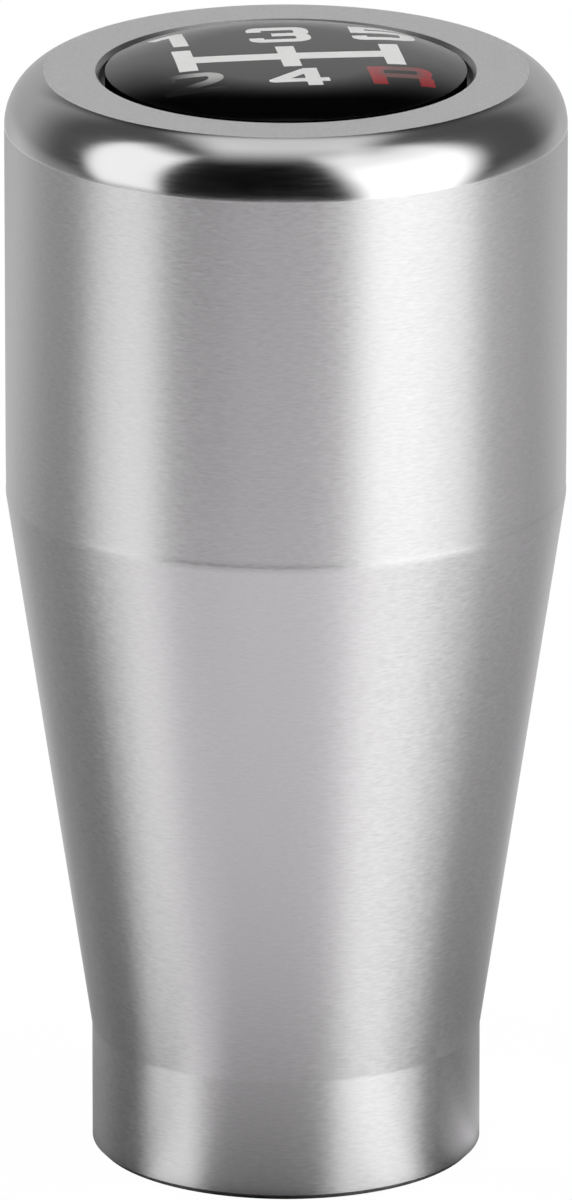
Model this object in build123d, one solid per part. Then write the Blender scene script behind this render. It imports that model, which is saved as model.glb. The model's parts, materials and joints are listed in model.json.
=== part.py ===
from build123d import *
from math import asin, cos, degrees, radians, sin, tan
import os

# Gear shift knob turned from stainless steel bar, with a domed shift pattern emblem let into its crown.
# Millimetres. The origin is the centre of the flat base, and +Z runs up the axis to the emblem.

# Knob body
grip_diameter = 38.0  # straight upper part, where the palm closes
base_diameter = 26.5  # collar at the foot
crown_height = 76.0  # from the base to the flat of the crown
collar_height = 8.5  # the taper starts here
grip_foot_height = 46.5  # the taper ends here, at the grip's lower edge
shoulder_radius = 4.0  # polished round between the grip and the crown
crown_edge_angle = 20.0  # the shoulder runs into the flat crown at this angle, which leaves a fine edge
grip_edge_radius = 3.0  # polished edge between the taper and the grip
collar_fillet_radius = 1.6  # left by the nose of the turning tool, between the collar and the taper
base_edge_break = 0.4

# Tapped hole for the gear lever
thread_diameter = 10.0
thread_pitch = 1.5
thread_depth = 30.0  # from the base to the end of the full bore
drill_point_angle = 118.0
countersink_angle = 90.0
countersink_margin = 0.5  # the countersink opens this much wider than the thread, on the radius

# Emblem and its recess in the crown
emblem_diameter = 24.4
emblem_clearance = 0.35  # open gap round the emblem
recess_edge_break = 0.3
disc_thickness = 0.9
disc_sink = 0.05  # the printed face lies this far below the crown
dome_height = 1.25  # from the printed face to the top of the clear resin
dome_rim_thickness = 0.06  # of the resin, where it ends at the disc's edge
dome_crown_diameter = 13.0  # the nearly flat middle of the lens, over the print
dome_crown_radius = 240.0  # of curvature, there

# Radii and heights that follow from them
grip_radius = grip_diameter / 2
base_radius = base_diameter / 2
shoulder_foot_height = crown_height - shoulder_radius * cos(radians(crown_edge_angle))
crown_radius = grip_radius - shoulder_radius * (1 - sin(radians(crown_edge_angle)))
bore_radius = (thread_diameter - thread_pitch) / 2
drill_point_height = bore_radius / tan(radians(drill_point_angle / 2))
countersink_radius = thread_diameter / 2 + countersink_margin
countersink_depth = (countersink_radius - bore_radius) / tan(radians(countersink_angle / 2))
emblem_radius = emblem_diameter / 2
recess_radius = emblem_radius + emblem_clearance
printed_face_height = crown_height - disc_sink
recess_floor_height = printed_face_height - disc_thickness


def turned(*outline):
    """The solid of revolution about Z of a closed outline, drawn as (radius, height)."""
    return revolve(Plane.XZ * make_face(Curve() + list(outline)), Axis.Z)


def knob_body():
    """The turned grip, with the tapped hole in its foot and the emblem's recess in its crown."""
    foot = Polyline((0, 0), (base_radius - base_edge_break, 0), (base_radius, base_edge_break))
    side = FilletPolyline(
        (base_radius, base_edge_break),
        (base_radius, collar_height),
        (grip_radius, grip_foot_height),
        (grip_radius, shoulder_foot_height),
        radius=[collar_fillet_radius, grip_edge_radius],
    )
    shoulder = CenterArc(
        (grip_radius - shoulder_radius, shoulder_foot_height),
        shoulder_radius,
        0,
        90 - crown_edge_angle,
    )
    crown = Polyline((crown_radius, crown_height), (0, crown_height), (0, 0))
    body = turned(foot, side, shoulder, crown)

    lever_hole = Polyline(
        (0, 0),
        (countersink_radius, 0),
        (bore_radius, countersink_depth),
        (bore_radius, thread_depth),
        (0, thread_depth + drill_point_height),
        close=True,
    )
    body -= turned(lever_hole)

    recess_depth = crown_height - recess_floor_height
    body -= Pos(Z=recess_floor_height) * extrude(Circle(recess_radius), recess_depth)
    crown_rims = body.edges().filter_by(GeomType.CIRCLE).group_by(Axis.Z)[-1]
    recess_rim = crown_rims.sort_by(SortBy.RADIUS)[0]
    return chamfer(recess_rim, recess_edge_break)


def emblem_disc():
    """The flat disc under the resin, whose upper face takes the print."""
    return Pos(Z=recess_floor_height) * extrude(Circle(emblem_radius), disc_thickness)


def emblem_dome():
    """The clear lens on the disc: a nearly flat crown, and an arc that runs on from it to the rim."""
    top = printed_face_height + dome_height
    rim = printed_face_height + dome_rim_thickness
    crown_half_angle = degrees(asin(dome_crown_diameter / 2 / dome_crown_radius))
    crown = CenterArc((0, top - dome_crown_radius), dome_crown_radius, 90, -crown_half_angle)
    edge = TangentArc(crown @ 1, (emblem_radius, rim), tangent=crown % 1)
    foot = Polyline(
        (emblem_radius, rim),
        (emblem_radius, printed_face_height),
        (0, printed_face_height),
        (0, top),
    )
    return turned(crown, edge, foot)


os.makedirs("parts", exist_ok=True)
for piece in (knob_body, emblem_disc, emblem_dome):
    export_step(piece(), f"parts/{piece.__name__}.step")
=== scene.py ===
import bpy
import json
import numpy as np
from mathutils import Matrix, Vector
from mathutils.geometry import delaunay_2d_cdt


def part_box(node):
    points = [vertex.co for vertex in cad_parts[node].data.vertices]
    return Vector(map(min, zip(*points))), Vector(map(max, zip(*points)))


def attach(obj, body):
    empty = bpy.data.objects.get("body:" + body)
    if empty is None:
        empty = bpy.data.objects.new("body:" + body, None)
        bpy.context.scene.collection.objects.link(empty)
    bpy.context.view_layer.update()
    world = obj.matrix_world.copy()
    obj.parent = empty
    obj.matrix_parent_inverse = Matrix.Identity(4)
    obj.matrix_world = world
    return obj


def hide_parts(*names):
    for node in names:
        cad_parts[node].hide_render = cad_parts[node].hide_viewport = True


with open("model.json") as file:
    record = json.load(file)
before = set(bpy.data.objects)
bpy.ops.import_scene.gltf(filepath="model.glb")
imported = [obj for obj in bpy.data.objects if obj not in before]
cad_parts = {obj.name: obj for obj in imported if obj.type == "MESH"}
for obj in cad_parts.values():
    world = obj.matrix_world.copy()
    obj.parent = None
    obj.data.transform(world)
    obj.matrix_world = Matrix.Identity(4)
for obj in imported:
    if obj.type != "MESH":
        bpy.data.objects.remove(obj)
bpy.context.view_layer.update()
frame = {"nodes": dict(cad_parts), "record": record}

# Knob body
# Stainless steel bar turned in a lathe: collar, taper and grip keep the satin of the finishing cut, the
# shoulder is polished, and the crown is bead blasted round the recess bored for the emblem. The foot is
# drilled and tapped M10 x 1.5 for the gear lever. Sizes are in millimetres.
MM = 0.001
body_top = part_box("knob_body")[1] / MM
disc_low, disc_high = (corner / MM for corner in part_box("emblem_disc"))
lever_thread = next(m for m in frame["record"]["mounts"] if m["name"] == "lever_thread")

grip_radius = body_top.x
crown_height = body_top.z
base_radius = 13.25
base_edge_break = 0.4
collar_height = 8.5
collar_fillet_radius = 1.6
grip_foot_height = 46.5
grip_edge_radius = 3.0
shoulder_radius = 4.0
crown_edge_angle = 20.0
recess_clearance = 0.35
recess_edge_break = 0.3
recess_radius = disc_high.x + recess_clearance
recess_floor_height = disc_low.z

# The finishing tool left a faint groove over the grip's lower edge, steep at its foot and fading upwards.
tool_mark_depth = 0.018
tool_mark_width = 0.25
tool_mark_fade = 3.0

thread_pitch = 1.5
thread_root_radius = 5.0
thread_length = 25.0
thread_runout = 2 * thread_pitch
thread_rows_per_pitch = 15
bore_radius = lever_thread["dims"]["r_mm"]
bore_depth = 30.0
drill_point_angle = 118.0
drill_point_height = bore_radius / np.tan(np.radians(drill_point_angle / 2))
countersink_radius = 5.5


def line(start, end, count):
    """Points of an outline at even steps from start to end, as (radius, height)."""
    return np.linspace(start, end, count)


def arc(centre, radius, start, end, count):
    """Points of an outline on a circle, between two angles in degrees, where 0 points away from the axis."""
    angle = np.radians(np.linspace(start, end, count))
    return np.column_stack([centre[0] + radius * np.cos(angle), centre[1] + radius * np.sin(angle)])


smooth_bend = 10.0


def turned(name, runs, columns, radius_at=None):
    """A closed surface of revolution: its point at row i and angle a is (r cos a, r sin a, z), with r and
    z from the outline at that row, or r from radius_at(a, r, z). The outline starts and ends on the axis,
    where its rows close to a point. A run is (material index, points), and the surface has a sharp edge
    wherever two runs bend by more than smooth_bend degrees. The UV map holds the angle as a share of a
    turn and the distance along the outline in millimetres."""
    outline = np.vstack([runs[0][1]] + [points[1:] for _, points in runs[1:]])
    band_material = np.repeat([index for index, _ in runs], [len(points) - 1 for _, points in runs])
    along = np.append(0, np.cumsum(np.hypot(*np.diff(outline, axis=0).T)))
    rings = outline[1:-1]
    rows = len(rings)

    angle = np.arange(columns) * 2 * np.pi / columns
    r, z = (np.broadcast_to(part, (rows, columns)) for part in (rings[:, :1], rings[:, 1:]))
    if radius_at:
        r = radius_at(angle, r, z)
    grid = np.stack([r * np.cos(angle), r * np.sin(angle), z], axis=-1)
    poles = np.array([[0, 0, outline[0, 1]], [0, 0, outline[-1, 1]]])
    vertices = np.vstack([grid.reshape(-1, 3), poles]) * MM

    i, j = (index.ravel() for index in np.mgrid[0 : rows - 1, 0:columns])
    here, beside = i * columns + j, i * columns + (j + 1) % columns
    quads = np.column_stack([here, beside, beside + columns, here + columns])
    column = np.arange(columns)
    following = (column + 1) % columns
    last = (rows - 1) * columns
    start_fan = np.column_stack([np.full(columns, rows * columns), following, column])
    end_fan = np.column_stack([np.full(columns, rows * columns + 1), last + column, last + following])
    mesh = bpy.data.meshes.new(name)
    mesh.from_pydata(vertices, [], [*quads.tolist(), *start_fan.tolist(), *end_fan.tolist()])

    turn = np.stack([j, j + 1, j + 1, j], axis=1) / columns
    distance = along[np.stack([i + 1, i + 1, i + 2, i + 2], axis=1)]
    middle, left, right = (column + 0.5) / columns, column / columns, (column + 1) / columns
    pole, ring, far_ring, far_pole = (np.full(columns, along[k]) for k in (0, 1, -2, -1))
    uv = np.concatenate(
        [
            np.stack([turn, distance], axis=-1).ravel(),
            np.stack([middle, pole, right, ring, left, ring], axis=-1).ravel(),
            np.stack([middle, far_pole, left, far_ring, right, far_ring], axis=-1).ravel(),
        ]
    )
    mesh.uv_layers.new(name="profile").data.foreach_set("uv", uv)

    ends = np.cumsum([len(points) - 1 for _, points in runs])[:-1] - 1
    steps = [(a[-1] - a[-2], b[1] - b[0]) for (_, a), (_, b) in zip(runs, runs[1:])]
    bends = [abs(np.degrees(np.arctan2(a[0] * b[1] - a[1] * b[0], a @ b))) for a, b in steps]
    sharp_rows = ends[np.array(bends) > smooth_bend]
    edges = np.empty(2 * len(mesh.edges), int)
    mesh.edges.foreach_get("vertices", edges)
    edge_rows = edges.reshape(-1, 2) // columns
    sharp = (edge_rows[:, 0] == edge_rows[:, 1]) & np.isin(edge_rows[:, 0], sharp_rows)
    mesh.attributes.new("sharp_edge", "BOOLEAN", "EDGE").data.foreach_set("value", sharp)
    fans = np.repeat([band_material[0], band_material[-1]], columns)
    mesh.polygons.foreach_set("material_index", np.concatenate([band_material[i + 1], fans]))
    mesh.polygons.foreach_set("use_smooth", np.ones(len(mesh.polygons), bool))
    mesh.update()

    piece = bpy.data.objects.new(name, mesh)
    bpy.context.scene.collection.objects.link(piece)
    return piece


def tapped(angle, radius, height):
    """The radius of the lever's hole: the drilled bore, with a right-hand groove of 60 degree flanks that
    climbs one pitch a turn and fades out over the tap's runout, all opened by the 90 degree countersink.
    Other rows keep their radius."""
    groove = (height / thread_pitch - angle / (2 * np.pi)) % 1
    from_root = np.abs(groove - 0.5) * 2
    root_flat, crest_flat = 1 / 8, 1 / 4
    form = np.clip((1 - crest_flat - from_root) / (1 - crest_flat - root_flat), 0, 1)
    fade = np.clip((thread_length - height) / thread_runout, 0, 1)
    cut = bore_radius + (thread_root_radius - bore_radius) * form * fade
    hole = np.maximum(cut, countersink_radius - height)
    return np.where(np.isclose(radius, bore_radius) & (height < bore_depth), hole, radius)


taper_angle = np.degrees(np.arctan2(grip_radius - base_radius, grip_foot_height - collar_height))
half_turn = np.tan(np.radians(taper_angle / 2))
fillet_centre = (base_radius + collar_fillet_radius, collar_height - collar_fillet_radius * half_turn)
collar_fillet = arc(fillet_centre, collar_fillet_radius, 180, 180 - taper_angle, 8)
edge_centre = (grip_radius - grip_edge_radius, grip_foot_height + grip_edge_radius * half_turn)
grip_edge = arc(edge_centre, grip_edge_radius, -taper_angle, 0, 10)
mark_bottom = grip_edge[-1] + (-tool_mark_depth, tool_mark_width)
mark_top = grip_edge[-1] + (0, tool_mark_width + tool_mark_fade)
shoulder_foot = crown_height - shoulder_radius * np.cos(np.radians(crown_edge_angle))
shoulder_centre = (grip_radius - shoulder_radius, shoulder_foot)
shoulder = arc(shoulder_centre, shoulder_radius, 0, 90 - crown_edge_angle, 48)
recess_lip = (recess_radius + recess_edge_break, crown_height)
recess_rim = (recess_radius, crown_height - recess_edge_break)
bore_rows = round(bore_depth / thread_pitch * thread_rows_per_pitch) + 1

SATIN, POLISHED, BLASTED, BORED, FACED, TAPPED = range(6)
body = turned(
    "knob_body_turned",
    [
        (TAPPED, line((0, bore_depth + drill_point_height), (bore_radius, bore_depth), 6)),
        (TAPPED, line((bore_radius, bore_depth), (bore_radius, 0), bore_rows)),
        (FACED, line((countersink_radius, 0), (base_radius - base_edge_break, 0), 10)),
        (SATIN, line((base_radius - base_edge_break, 0), (base_radius, base_edge_break), 4)),
        (SATIN, line((base_radius, base_edge_break), collar_fillet[0], 6)),
        (SATIN, collar_fillet),
        (SATIN, line(collar_fillet[-1], grip_edge[0], 16)),
        (SATIN, grip_edge),
        (SATIN, line(grip_edge[-1], mark_bottom, 5)),
        (SATIN, line(mark_bottom, mark_top, 12)),
        (SATIN, line(mark_top, shoulder[0], 12)),
        (POLISHED, shoulder),
        (BLASTED, line(shoulder[-1], recess_lip, 8)),
        (BORED, line(recess_lip, recess_rim, 4)),
        (BORED, line(recess_rim, (recess_radius, recess_floor_height), 4)),
        (BORED, line((recess_radius, recess_floor_height), (0, recess_floor_height), 8)),
    ],
    columns=160,
    radius_at=tapped,
)


def linear(hex_colour):
    """An sRGB hex colour as linear red, green, blue and alpha."""
    channels = np.array([int(hex_colour[k : k + 2], 16) for k in (1, 3, 5)]) / 255
    curved = ((channels + 0.055) / 1.055) ** 2.4
    return (*np.where(channels <= 0.04045, channels / 12.92, curved), 1.0)


def add_node(tree, kind, inputs=(), **settings):
    """A node of that kind with its settings, and with a value for each input or a socket to link it from."""
    node = tree.nodes.new(kind)
    for setting, value in settings.items():
        setattr(node, setting, value)
    for socket, value in dict(inputs).items():
        if isinstance(value, bpy.types.NodeSocket):
            tree.links.new(value, node.inputs[socket])
        else:
            node.inputs[socket].default_value = value
    return node


def empty_material(name):
    """A material of that name and its node tree, with no nodes in it yet."""
    material = bpy.data.materials.new(name)
    material.use_nodes = True
    material.node_tree.nodes.clear()
    return material, material.node_tree


# Most of a noise lies between these two values, over which the roughness changes by this share each way.
noise_low, noise_high = 0.3, 0.7
gloss_change = 0.12


def steel(name, tones, roughness, anisotropy, grain_round, grain_along, grain_depth):
    """Bare stainless steel with the grain of its last cut: a noise that changes over grain_round in the
    plane of the turning and over grain_along on the outline, in millimetres, so it is drawn out round the
    axis where the first is longer and beaded where both are alike. The grain runs between the two tones,
    makes the gloss a little duller or brighter, and stands up by grain_depth. Highlights are drawn out
    along the outline by the anisotropy."""
    material, tree = empty_material(name)
    profile = add_node(tree, "ShaderNodeUVMap", uv_map="profile")
    on_outline = add_node(tree, "ShaderNodeSeparateXYZ", {0: profile.outputs[0]}).outputs["Y"]
    place = add_node(tree, "ShaderNodeTexCoord").outputs["Object"]
    x, y, _ = add_node(tree, "ShaderNodeSeparateXYZ", {0: place}).outputs
    point = add_node(tree, "ShaderNodeCombineXYZ", {"X": x, "Y": y, "Z": on_outline}).outputs[0]
    per_grain = (1 / (grain_round * MM), 1 / (grain_round * MM), 1 / grain_along)
    in_grains = add_node(tree, "ShaderNodeVectorMath", {0: point, 1: per_grain}, operation="MULTIPLY")
    noise = {"Vector": in_grains.outputs[0], "Scale": 1.0, "Detail": 2.0}
    grain = add_node(tree, "ShaderNodeTexNoise", noise).outputs[0]
    darker, lighter = (linear(tone) for tone in tones)
    tone = add_node(tree, "ShaderNodeMix", {0: grain, 6: darker, 7: lighter}, data_type="RGBA")
    matt = add_node(
        tree,
        "ShaderNodeMapRange",
        {
            "Value": grain,
            "From Min": noise_low,
            "From Max": noise_high,
            "To Min": (1 - gloss_change) * roughness,
            "To Max": (1 + gloss_change) * roughness,
        },
    )
    bump = {"Height": grain, "Strength": 1.0, "Distance": grain_depth * MM}
    relief = add_node(tree, "ShaderNodeBump", bump)
    tangent = add_node(tree, "ShaderNodeTangent", direction_type="UV_MAP", uv_map="profile")
    shader = add_node(
        tree,
        "ShaderNodeBsdfPrincipled",
        {
            "Base Color": tone.outputs[2],
            "Metallic": 1.0,
            "Roughness": matt.outputs[0],
            "Anisotropic": anisotropy,
            "Anisotropic Rotation": 0.25,
            "Normal": relief.outputs[0],
            "Tangent": tangent.outputs[0],
        },
    )
    add_node(tree, "ShaderNodeOutputMaterial", {"Surface": shader.outputs[0]})
    return material


# The finishes stand in the order of the zones above. The real feed of the tool and the dents of the beads
# are too fine to show, so streaks, rings and beads are drawn coarser.
streak_length = 0.65
ring_length = 2.0
bead_size = 0.22
finishes = (
    # The last cut gives the sides a silky sheen: short fine streaks, and highlights that run up and down.
    steel(
        "stainless_steel_satin_turned",
        ("#aaaaaa", "#d4d4d4"),
        roughness=0.4,
        anisotropy=0.77,
        grain_round=streak_length,
        grain_along=0.14,
        grain_depth=0.006,
    ),
    # Buffing makes the shoulder a soft mirror, in which the lights show their shapes.
    steel(
        "stainless_steel_polished",
        ("#bebebe", "#c0c0c0"),
        roughness=0.17,
        anisotropy=0.3,
        grain_round=ring_length,
        grain_along=0.16,
        grain_depth=0.00002,
    ),
    # Blasting leaves the crown pale, even and finely speckled, without a highlight. Its tone is raised past
    # what bare steel reflects, as painted light on the top face.
    steel(
        "stainless_steel_bead_blasted",
        ("#e6e6e6", "#ffffff"),
        roughness=0.62,
        anisotropy=0.0,
        grain_round=bead_size,
        grain_along=bead_size,
        grain_depth=0.0022,
    ),
    # The bored recess is a darker ring round the emblem: its tone is painted darker than bare steel, as
    # painted shade in the recess.
    steel(
        "stainless_steel_bored_painted_shade",
        ("#868687", "#909091"),
        roughness=0.35,
        anisotropy=0.3,
        grain_round=ring_length,
        grain_along=0.14,
        grain_depth=0.0005,
    ),
    # The faced base is dull and plain.
    steel(
        "stainless_steel_faced",
        ("#c4c4c5", "#c8c8c9"),
        roughness=0.5,
        anisotropy=0.3,
        grain_round=ring_length,
        grain_along=0.14,
        grain_depth=0.0002,
    ),
    # The tapped hole is dark, with glints on the flanks of the thread.
    steel(
        "stainless_steel_tapped",
        ("#9a9a9b", "#a8a8a9"),
        roughness=0.35,
        anisotropy=0.5,
        grain_round=ring_length,
        grain_along=0.12,
        grain_depth=0.001,
    ),
)
for finish in finishes:
    body.data.materials.append(finish)
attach(body, "root")
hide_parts("knob_body")

# Emblem disc
# A thin polyester disc, printed matt black all over and bonded to the floor of the recess. The solid
# itself is shown, with the film's fine grain on it.
film_black, film_grey = linear("#020202"), linear("#060606")
film_grain = 0.25
# The print is so black and matt that all the shine on the emblem is the resin's.
disc_black, tree = empty_material("polyester_film_printed_black")
place = add_node(tree, "ShaderNodeTexCoord").outputs["Object"]
noise = {"Vector": place, "Scale": 1 / (film_grain * MM), "Detail": 2.0}
grain = add_node(tree, "ShaderNodeTexNoise", noise).outputs[0]
shade = add_node(tree, "ShaderNodeMix", {0: grain, 6: film_black, 7: film_grey}, data_type="RGBA")
matt_film = {"Base Color": shade.outputs[2], "Roughness": 0.55, "Specular IOR Level": 0.0}
shader = add_node(tree, "ShaderNodeBsdfPrincipled", matt_film)
add_node(tree, "ShaderNodeOutputMaterial", {"Surface": shader.outputs[0]})
frame["nodes"]["emblem_disc"].material_slots[0].material = disc_black

# Shift pattern
# Screen printed ink on the disc: a white gate of three slots with the numbers of the gears at their ends,
# and a red letter for reverse. The print sits a little off the centre, and its 2 and R are worn thin.
ink_thickness = 0.02
print_centre = np.array([0.21, 0.31])
gate_spacing = 6.98
gate_length = 4.83
gate_slot_width = 1.25
gate_rail_width = 1.45
figure_width = 4.2
figure_height = 3.75
upper_row = 5.4
lower_row = -4.85
pen_width = 1.0
pen_height = 0.75
pen_sides = 16
corner_points = 9
nearly_half = 0.499


def bent(points, round_to):
    """A path through points, with each inner corner replaced by a parabola that leaves its two runs
    round_to from the corner, or as far as half of the shorter run allows."""
    points = np.array(points, float)
    if not round_to:
        return points
    parts = [points[:1]]
    weight = np.linspace(0, 1, corner_points)[:, None]
    for before, corner, after in zip(points, points[1:], points[2:]):
        back, on = before - corner, after - corner
        reach = min(round_to, nearly_half * np.hypot(*back), nearly_half * np.hypot(*on))
        start, end = corner + back / np.hypot(*back) * reach, corner + on / np.hypot(*on) * reach
        parts.append((1 - weight) ** 2 * start + 2 * weight * (1 - weight) * corner + weight**2 * end)
    return np.vstack([*parts, points[-1:]])


def stroke(points, round_to):
    """A stroke of a round pen of unit radius as outlines that overlap: a rectangle along each step of the
    path, and a disc at each point between two steps."""
    path = bent(points, round_to)
    step = np.diff(path, axis=0)
    side = np.column_stack([-step[:, 1], step[:, 0]]) / np.hypot(*step.T)[:, None]
    start, end = path[:-1], path[1:]
    rectangles = np.stack([start + side, start - side, end - side, end + side], axis=1)
    angle = np.linspace(0, 2 * np.pi, pen_sides, endpoint=False)
    discs = path[1:-1, None] + np.column_stack([np.cos(angle), np.sin(angle)])
    return [*rectangles, *discs]


# The pen's paths in a box of unit half size, and how far in half pens the corners of each are rounded. Half
# a pen measures 0.31 across the box and 0.25 up it, so strokes with square ends run on by about that, and
# the legs of the R by less.
FIGURES = {
    "1": [([(-0.95, 0.5), (0.1, 1)], 0), ([(0.12, 1.25), (0.12, -1.25)], 0)],
    "2": [([(-1, 0.35), (-1, 1), (1, 1), (1, 0.1), (-0.9, -0.9)], 2), ([(-1.3, -1), (1.3, -1)], 0)],
    "3": [
        ([(-1, 0.5), (-1, 1), (1, 1), (1, 0), (-0.3, 0)], 1.6),
        ([(-0.3, 0), (1, 0), (1, -1), (-1, -1), (-1, -0.5)], 1.6),
    ],
    "4": [([(0.63, 1.25), (0.63, -1.25)], 0), ([(0.5, 1), (-0.95, -0.5), (1.3, -0.5)], 0)],
    "5": [
        ([(1.2, 1), (-1.3, 1)], 0),
        ([(-1, 1.25), (-1, 0)], 0),
        ([(-1, 0.2), (1, 0.2), (1, -1), (-1, -1), (-1, -0.5)], 1.6),
    ],
    "R": [
        ([(-1, 1.25), (-1, -1.1)], 0),
        ([(-1.3, 1), (1, 1), (1, 0.05), (-1, 0.05)], 1.6),
        ([(0.2, 0.05), (1, 0.05), (1, -1.1)], 1.2),
    ],
}
pen = np.array([pen_width, pen_height])
box_in_pens = (np.array([figure_width, figure_height]) - pen) / pen


def figure(character, centre):
    """The outlines of a character's strokes round centre, in millimetres."""
    strokes = [stroke(np.array(points) * box_in_pens, round_to) for points, round_to in FIGURES[character]]
    return [outline * pen / 2 + centre for outlines in strokes for outline in outlines]


def bar(low, high):
    """The outline of a rectangle from its lowest corner to its highest, in millimetres."""
    return np.array([low, (high[0], low[1]), high, (low[0], high[1])])


whole_hull = 0
weld_distance = 1e-6
straight_within = 1.0


def printed(name, outlines, material):
    """A flat layer of ink on the printed face of the disc: the outlines' hull is cut into triangles along
    them, those that lie inside an outline are merged to one film, and the film gets its thickness."""
    points = (np.vstack(outlines) + print_centre).tolist()
    starts = np.cumsum([0] + [len(outline) for outline in outlines])
    loops = [list(range(a, b)) for a, b in zip(starts, starts[1:])]
    corners, _, faces, _, _, sources = delaunay_2d_cdt(points, [], loops, whole_hull, weld_distance)
    inked = [face for face, source in zip(faces, sources) if source]
    top = np.full(len(corners), disc_high.z + ink_thickness)
    flat = np.column_stack([np.array(corners), top]).astype(np.float32)
    mesh = bpy.data.meshes.new(name)
    mesh.from_pydata(flat * MM, [], inked)
    mesh.validate()
    layer = bpy.data.objects.new(name, mesh)
    bpy.context.scene.collection.objects.link(layer)
    film = layer.modifiers.new("one_film", "DECIMATE")
    film.decimate_type = "DISSOLVE"
    film.angle_limit = np.radians(straight_within)
    wall = layer.modifiers.new("ink", "SOLIDIFY")
    wall.thickness = ink_thickness * MM
    wall.offset = -1
    mesh.materials.append(material)
    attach(layer, "root")


ink_patch = 0.5


def ink(name, thin, full, worn=None, rubbed=None):
    """Screen printing ink: flat and matt, with a cover that varies from thin to full over about ink_patch.
    Worn ink is (x, y, gone, whole): at a distance of gone from that point of the print only the colour
    rubbed is left, at a distance of whole the ink is as printed, and between them one runs smoothly into
    the other."""
    material, tree = empty_material(name)
    place = add_node(tree, "ShaderNodeTexCoord").outputs["Object"]
    noise = {"Vector": place, "Scale": 1 / (ink_patch * MM), "Detail": 3.0}
    cover = add_node(tree, "ShaderNodeTexNoise", noise).outputs[0]
    shade = add_node(tree, "ShaderNodeMix", {0: cover, 6: linear(thin), 7: linear(full)}, data_type="RGBA")
    colour = shade.outputs[2]
    if worn:
        x, y, gone, whole = worn
        centre = (*((np.array([x, y]) + print_centre) * MM), disc_high.z * MM)
        away = add_node(tree, "ShaderNodeVectorMath", {0: place, 1: centre}, operation="DISTANCE")
        left = add_node(
            tree,
            "ShaderNodeMapRange",
            {"Value": away.outputs["Value"], "From Min": gone * MM, "From Max": whole * MM},
            interpolation_type="SMOOTHSTEP",
        )
        wear = {0: left.outputs[0], 6: linear(rubbed), 7: colour}
        colour = add_node(tree, "ShaderNodeMix", wear, data_type="RGBA").outputs[2]
    matt_ink = {"Base Color": colour, "Roughness": 0.5, "Specular IOR Level": 0.0}
    shader = add_node(tree, "ShaderNodeBsdfPrincipled", matt_ink)
    add_node(tree, "ShaderNodeOutputMaterial", {"Surface": shader.outputs[0]})
    return material


# The white is clean and covers the black well. The 2 keeps only its upper right, and the R is pale in its
# middle.
white_ink = ink("white_screen_ink", "#e6e6e4", "#f4f4f2")
worn_white_ink = ink("white_screen_ink_worn", "#a8a8a6", "#bcbcba", (-5.6, -3.4, 3.0, 0.4), "#161514")
worn_red_ink = ink("red_screen_ink_worn", "#92181e", "#9e1c22", (7.0, -4.2, 1.0, 1.8), "#6a4440")
slots = [
    bar((x - gate_slot_width / 2, -gate_length / 2), (x + gate_slot_width / 2, gate_length / 2))
    for x in (-gate_spacing, 0, gate_spacing)
]
rail = bar((-gate_spacing, -gate_rail_width / 2), (gate_spacing, gate_rail_width / 2))
printed("shift_gate_print", [*slots, rail], white_ink)
for piece_name, character, x, y, material in (
    ("gear_1_print", "1", -gate_spacing, upper_row, white_ink),
    ("gear_2_print", "2", -gate_spacing, lower_row, worn_white_ink),
    ("gear_3_print", "3", 0, upper_row, white_ink),
    ("gear_4_print", "4", 0, lower_row, white_ink),
    ("gear_5_print", "5", gate_spacing, upper_row, white_ink),
    ("reverse_print", "R", gate_spacing, lower_row, worn_red_ink),
):
    printed(piece_name, figure(character, (x, y)), material)

# Emblem dome
# Clear polyurethane resin, poured on the disc and drawn by its own surface into a lens that ends at the
# disc's edge. It bonds to the print, so its lower face lies a little inside the disc.
dome_low, dome_high = (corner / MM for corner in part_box("emblem_dome"))
dome_rim_thickness = 0.06
dome_crown_radius = 240.0
dome_crown_half_width = 6.5
resin_overlap = 0.05
resin_wave_length = 2.5
resin_wave_height = 0.004

crown_turn = np.degrees(np.arcsin(dome_crown_half_width / dome_crown_radius))
crown_centre = np.array([0, dome_high.z - dome_crown_radius])
lens_crown = arc(crown_centre, dome_crown_radius, 90 - crown_turn, 90, 14)
rim_top = np.array([dome_high.x, dome_low.z + dome_rim_thickness])
# The edge is the arc that leaves the crown in its direction and ends at the rim.
outward = np.array([np.sin(np.radians(crown_turn)), np.cos(np.radians(crown_turn))])
chord = rim_top - lens_crown[0]
edge_radius = -(chord @ chord) / (2 * chord @ outward)
edge_centre = lens_crown[0] - edge_radius * outward
rim_angle = np.degrees(np.arctan2(*(rim_top - edge_centre)[::-1]))
lens_edge = arc(edge_centre, edge_radius, rim_angle, 90 - crown_turn, 32)
bond = dome_low.z - resin_overlap
dome = turned(
    "emblem_dome_lens",
    [
        (0, line((0, bond), (dome_high.x - resin_overlap, bond), 3)),
        (0, line((dome_high.x - resin_overlap, bond), (dome_high.x, dome_low.z), 2)),
        (0, line((dome_high.x, dome_low.z), rim_top, 2)),
        (0, lens_edge),
        (0, lens_crown),
    ],
    columns=160,
)
# Poured resin sets as clear as glass with a wet gloss. Its skin is very slightly wavy, which softens what
# it mirrors.
resin, tree = empty_material("polyurethane_resin_clear")
place = add_node(tree, "ShaderNodeTexCoord").outputs["Object"]
noise = {"Vector": place, "Scale": 1 / (resin_wave_length * MM), "Detail": 1.0}
waves = add_node(tree, "ShaderNodeTexNoise", noise).outputs[0]
bump = {"Height": waves, "Strength": 1.0, "Distance": resin_wave_height * MM}
skin = add_node(tree, "ShaderNodeBump", bump)
shader = add_node(
    tree,
    "ShaderNodeBsdfPrincipled",
    {
        "Base Color": linear("#fbfbfc"),
        "Roughness": 0.04,
        "IOR": 1.49,
        "Transmission Weight": 1.0,
        "Normal": skin.outputs[0],
    },
)
add_node(tree, "ShaderNodeOutputMaterial", {"Surface": shader.outputs[0]})
dome.data.materials.append(resin)
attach(dome, "root")
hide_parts("emblem_dome")

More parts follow.
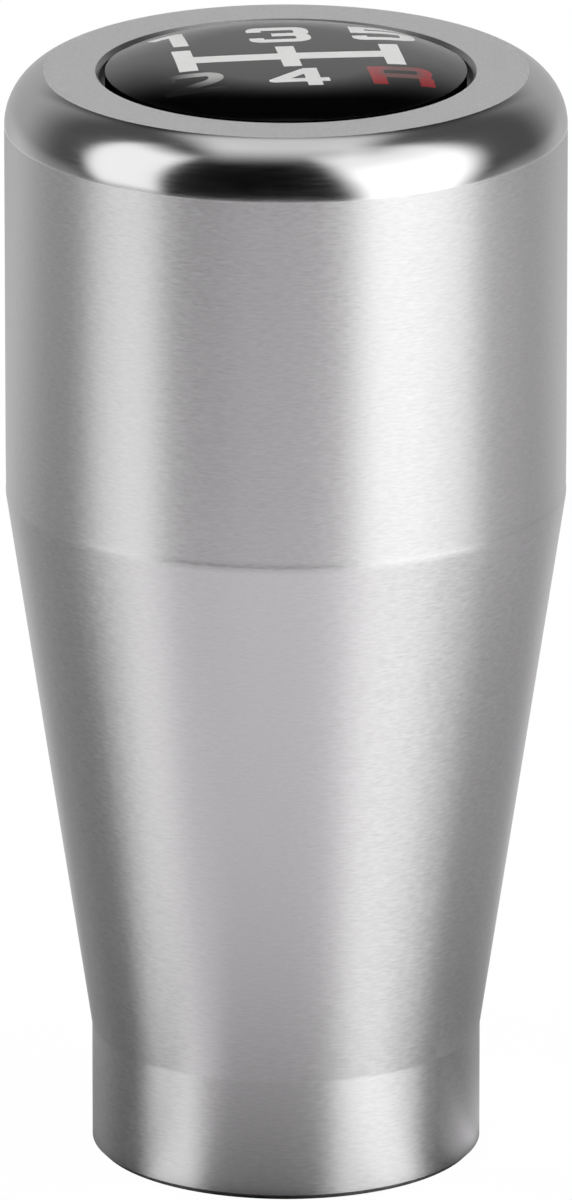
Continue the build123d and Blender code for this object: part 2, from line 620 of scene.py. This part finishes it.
# Camera
# It stands in front of the knob and a little to its left, and looks down at it from afar through a long
# lens. Distances are in metres.
view_turn = np.radians(-7.22)
view_pitch = np.radians(17.49)
view_distance = 1.301
view_height = 0.0386
towards = Vector(
    (np.sin(view_turn) * np.cos(view_pitch), -np.cos(view_turn) * np.cos(view_pitch), np.sin(view_pitch))
)
camera = bpy.data.objects.new("camera", bpy.data.cameras.new("camera"))
bpy.context.scene.collection.objects.link(camera)
camera.data.lens = 574.6
camera.data.sensor_width = 36
camera.location = Vector((0, 0, view_height)) + towards * view_distance
camera.rotation_mode = "QUATERNION"
camera.rotation_quaternion = towards.to_track_quat("Z", "Y")
bpy.context.scene.camera = camera

# Table
# A round table top of glossy white acrylic sheet, on which the knob stands. Its uneven light is painted into
# a glow:
# painted light, brightest in front of the knob and dim beside it, and painted shadow, dark close to its
# foot. Sizes are in metres.
table_radius = 0.26
table_height = -0.00002
table_sides = 128


def bearings(tree, vector, *names):
    """Where a vector points, in degrees, as the bearings that are named. The studio stands square to the
    photograph's view: azimuth is to the right of the camera's side, behind is to the right of the side
    behind the knob, elevation is over the table, sideways is to the right of the upright plane through
    both sides, and over runs from the horizon behind the knob across the zenith."""
    square = {"Vector": vector, "Angle": -view_turn}
    facing = add_node(tree, "ShaderNodeVectorRotate", square, rotation_type="Z_AXIS")
    right, away, up = add_node(tree, "ShaderNodeSeparateXYZ", {0: facing.outputs[0]}).outputs
    near = add_node(tree, "ShaderNodeMath", {0: away, 1: -1.0}, operation="MULTIPLY").outputs[0]
    measures = {
        "azimuth": ("ARCTAN2", {0: right, 1: near}),
        "behind": ("ARCTAN2", {0: right, 1: away}),
        "elevation": ("ARCSINE", {0: up}),
        "sideways": ("ARCSINE", {0: right}),
        "over": ("ARCTAN2", {0: up, 1: away}),
    }
    found = []
    for name in names:
        operation, values = measures[name]
        angle = add_node(tree, "ShaderNodeMath", values, operation=operation)
        found.append(add_node(tree, "ShaderNodeMath", {0: angle.outputs[0]}, operation="DEGREES").outputs[0])
    return found


def patch(tree, *windows):
    """The product of windows. A window is (value, low, high, soft): it is 1 where its value lies between
    low and high and 0 elsewhere, with smooth edges that reach soft to either side. A side that is None is
    left open."""
    product = 1.0
    for value, low, high, soft in windows:
        for side, inwards in ((low, soft), (high, -soft)):
            if side is None:
                continue
            ramp = {"Value": value, "From Min": side - inwards, "From Max": side + inwards}
            edge = add_node(tree, "ShaderNodeMapRange", ramp, interpolation_type="SMOOTHSTEP")
            both = {0: edge.outputs[0], 1: product}
            product = add_node(tree, "ShaderNodeMath", both, operation="MULTIPLY").outputs[0]
    return product


def added(tree, base, *shares):
    """A base value plus shares, each (value, factor)."""
    for value, factor in shares:
        share = {0: value, 1: factor, 2: base}
        base = add_node(tree, "ShaderNodeMath", share, operation="MULTIPLY_ADD").outputs[0]
    return base


rim = np.linspace(0, 2 * np.pi, table_sides, endpoint=False)
rim_height = np.full(table_sides, table_height)
table_rim = np.column_stack([table_radius * np.cos(rim), table_radius * np.sin(rim), rim_height])
table_mesh = bpy.data.meshes.new("table")
table_mesh.from_pydata(table_rim, [], [list(range(table_sides))])
table = bpy.data.objects.new("table", table_mesh)
bpy.context.scene.collection.objects.link(table)

# The light that falls on the sheet is given as its tone, place by place, with a faint pink cast and under
# a hard gloss. Seen straight, it is burnt out to white.
table_painted_light, tree = empty_material("white_acrylic_sheet_painted_light")
place = add_node(tree, "ShaderNodeTexCoord").outputs["Object"]
(azimuth,) = bearings(tree, place, "azimuth")
off_axis = add_node(tree, "ShaderNodeVectorMath", {0: place}, operation="LENGTH").outputs["Value"]
off_front = add_node(tree, "ShaderNodeMath", {0: azimuth}, operation="ABSOLUTE").outputs[0]
front = (azimuth, -24, 39, 10)
open_tone = 0.29
shaded_tone = 0.17
painted_light_far_out = added(
    tree,
    open_tone,
    # Painted light on the sides, brighter far out, and on the right side more so.
    (patch(tree, (off_front, 70, 140, 15), (off_axis, 0.178, None, 0.08)), 1.15),
    (patch(tree, (azimuth, 70, 140, 15)), 0.2),
    (patch(tree, (azimuth, 72, 108, 12), (off_axis, 0.14, None, 0.06)), 0.65),
    # Painted light on the front, brighter far out, and on the parts under the right and left boxes.
    (patch(tree, front), 1.0),
    (patch(tree, front, (off_axis, 0.16, None, 0.07)), 0.8),
    (patch(tree, (azimuth, 39, 63, 10)), 0.95),
    (patch(tree, (azimuth, -73, -24, 10)), 0.93),
    # Painted light on the back.
    (patch(tree, (off_front, 143, None, 10)), 0.58),
)
painted_light_and_shade_near_knob = added(
    tree,
    shaded_tone,
    # Painted shade near the knob, lifted by painted light in front and in brighter strips towards the two
    # boxes.
    (patch(tree, (azimuth, -52, 55, 10)), 0.28),
    (patch(tree, (off_front, 31, 50, 5)), 0.55),
    # Painted light in bright spots close to the foot at the right, and on the left part of the back.
    (patch(tree, (azimuth, 82, None, 8), (off_axis, None, 0.023, 0.007)), 0.55),
    (patch(tree, (azimuth, 68, 92, 6), (off_axis, None, 0.02, 0.003)), 0.6),
    (patch(tree, (azimuth, None, -140, 15)), 0.25),
)
# Painted shadow: the glow falls from the far light to the near light close to the knob, and to black in a
# ring right round its foot.
clear_of_knob = patch(tree, (off_axis, 0.034, None, 0.020))
clear_of_foot = patch(tree, (off_axis, 0.0142, None, 0.0007))
tone_with_painted_foot_shadow = added(tree, 0.0, (clear_of_foot, painted_light_and_shade_near_knob))
rise = added(tree, painted_light_far_out, (painted_light_and_shade_near_knob, -1.0))
tone = added(tree, tone_with_painted_foot_shadow, (clear_of_knob, rise))
sheet = add_node(
    tree,
    "ShaderNodeBsdfPrincipled",
    {
        "Base Color": linear("#000000"),
        "Roughness": 0.08,
        "IOR": 1.5,
        "Coat Weight": 1.0,
        "Coat Roughness": 0.08,
        "Emission Color": linear("#fffcff"),
        "Emission Strength": tone,
    },
)
burnt_out_share = 0.99
white = add_node(tree, "ShaderNodeEmission", {"Color": linear("#ffffff"), "Strength": 1.0})
seen = add_node(tree, "ShaderNodeLightPath").outputs["Is Camera Ray"]
burnt_out = added(tree, 0.0, (seen, burnt_out_share))
mixed = add_node(tree, "ShaderNodeMixShader", {0: burnt_out, 1: sheet.outputs[0], 2: white.outputs[0]})
add_node(tree, "ShaderNodeOutputMaterial", {"Surface": mixed.outputs[0]})
table.data.materials.append(table_painted_light)

# Studio light
# Two softboxes left and right of the camera, a white sheet overhead, and behind the knob a dim wall with a
# soft glow and a dark card before its upper middle, in a dark room. The camera itself sees plain white
# beyond the table. A soft lamp overhead, which no gloss shows, lights the print.
lamp = bpy.data.objects.new("overhead_lamp", bpy.data.lights.new("overhead_lamp", "SUN"))
lamp.data.energy = 3.6
lamp.data.angle = np.radians(170)
lamp.visible_glossy = False
lamp.visible_camera = False
bpy.context.scene.collection.objects.link(lamp)

world = bpy.data.worlds.new("studio")
world.use_nodes = True
bpy.context.scene.world = world
tree = world.node_tree
tree.nodes.clear()
direction = add_node(tree, "ShaderNodeTexCoord").outputs["Generated"]
azimuth, behind, elevation, sideways, over = bearings(
    tree, direction, "azimuth", "behind", "elevation", "sideways", "over"
)
off_front, aside = (
    add_node(tree, "ShaderNodeMath", {0: angle}, operation="ABSOLUTE").outputs[0]
    for angle in (azimuth, sideways)
)

# The sides of the boxes lean: as they rise, the outer ones and the left inner one wander outwards, and the
# right inner one towards the camera.
left_inner_edge = added(tree, azimuth, (elevation, 0.04))
right_inner_edge = added(tree, azimuth, (elevation, 0.125))
outer_edge = added(tree, off_front, (elevation, -0.3))
left_box = (
    (left_inner_edge, None, -52.5, 4),
    (outer_edge, None, 86, 5),
    (elevation, -13, None, 7),
    (elevation, None, 57, 10),
)
right_box = (
    (right_inner_edge, 29.5, None, 8),
    (outer_edge, None, 81, 11),
    (elevation, None, 68, 12),
)
right_box_lower_part = (elevation, None, 41, 20)

# The sheet overhead narrows towards the back, and the card narrows upwards.
ceiling = (
    (added(tree, aside, (over, -0.19)), None, 1.3, 5),
    (over, 58.5, None, 4),
    (over, None, 107, 20),
)
card = (
    (added(tree, aside, (over, 0.25)), None, 28, 5),
    (over, 28, None, 13),
)

# The glow is an oval on the wall, a little left of its middle, and the rest of the wall is dim.
glow_half_width, glow_half_height = 77, 59
glow_left = 6.545
across_glow = added(tree, glow_left / glow_half_width, (behind, 1 / glow_half_width))
up_glow = added(tree, 0.0, (elevation, 1 / glow_half_height))
in_glow = add_node(tree, "ShaderNodeCombineXYZ", {"X": across_glow, "Y": up_glow}).outputs[0]
from_glow = add_node(tree, "ShaderNodeVectorMath", {0: in_glow}, operation="LENGTH").outputs["Value"]
back_wall = added(
    tree,
    0.0,
    (patch(tree, (behind, -90, 90, 18)), 0.11),
    (patch(tree, (from_glow, None, 0.68, 0.23)), 0.45),
)

# The floor beside the table is faintly lit.
floor_beside_table = ((off_front, 90, 150, 14), (elevation, None, -5, 7))
dark_room = 0.003
room = added(
    tree,
    dark_room,
    (back_wall, added(tree, 1.0, (patch(tree, *card), -1.0))),
    (patch(tree, *floor_beside_table), 0.22),
    (patch(tree, *ceiling), 1.05),
    (patch(tree, *left_box), 1.65),
    (patch(tree, *right_box), 1.45),
    (patch(tree, *right_box, right_box_lower_part), 0.9),
)
studio = add_node(tree, "ShaderNodeBackground", {"Color": linear("#ffffff"), "Strength": room})
sweep = add_node(tree, "ShaderNodeBackground", {"Color": linear("#ffffff"), "Strength": 1.0})
seen = add_node(tree, "ShaderNodeLightPath").outputs["Is Camera Ray"]
mixed = add_node(tree, "ShaderNodeMixShader", {0: seen, 1: studio.outputs[0], 2: sweep.outputs[0]})
add_node(tree, "ShaderNodeOutputWorld", {"Surface": mixed.outputs[0]})
bpy.context.scene.view_settings.view_transform = "Standard"
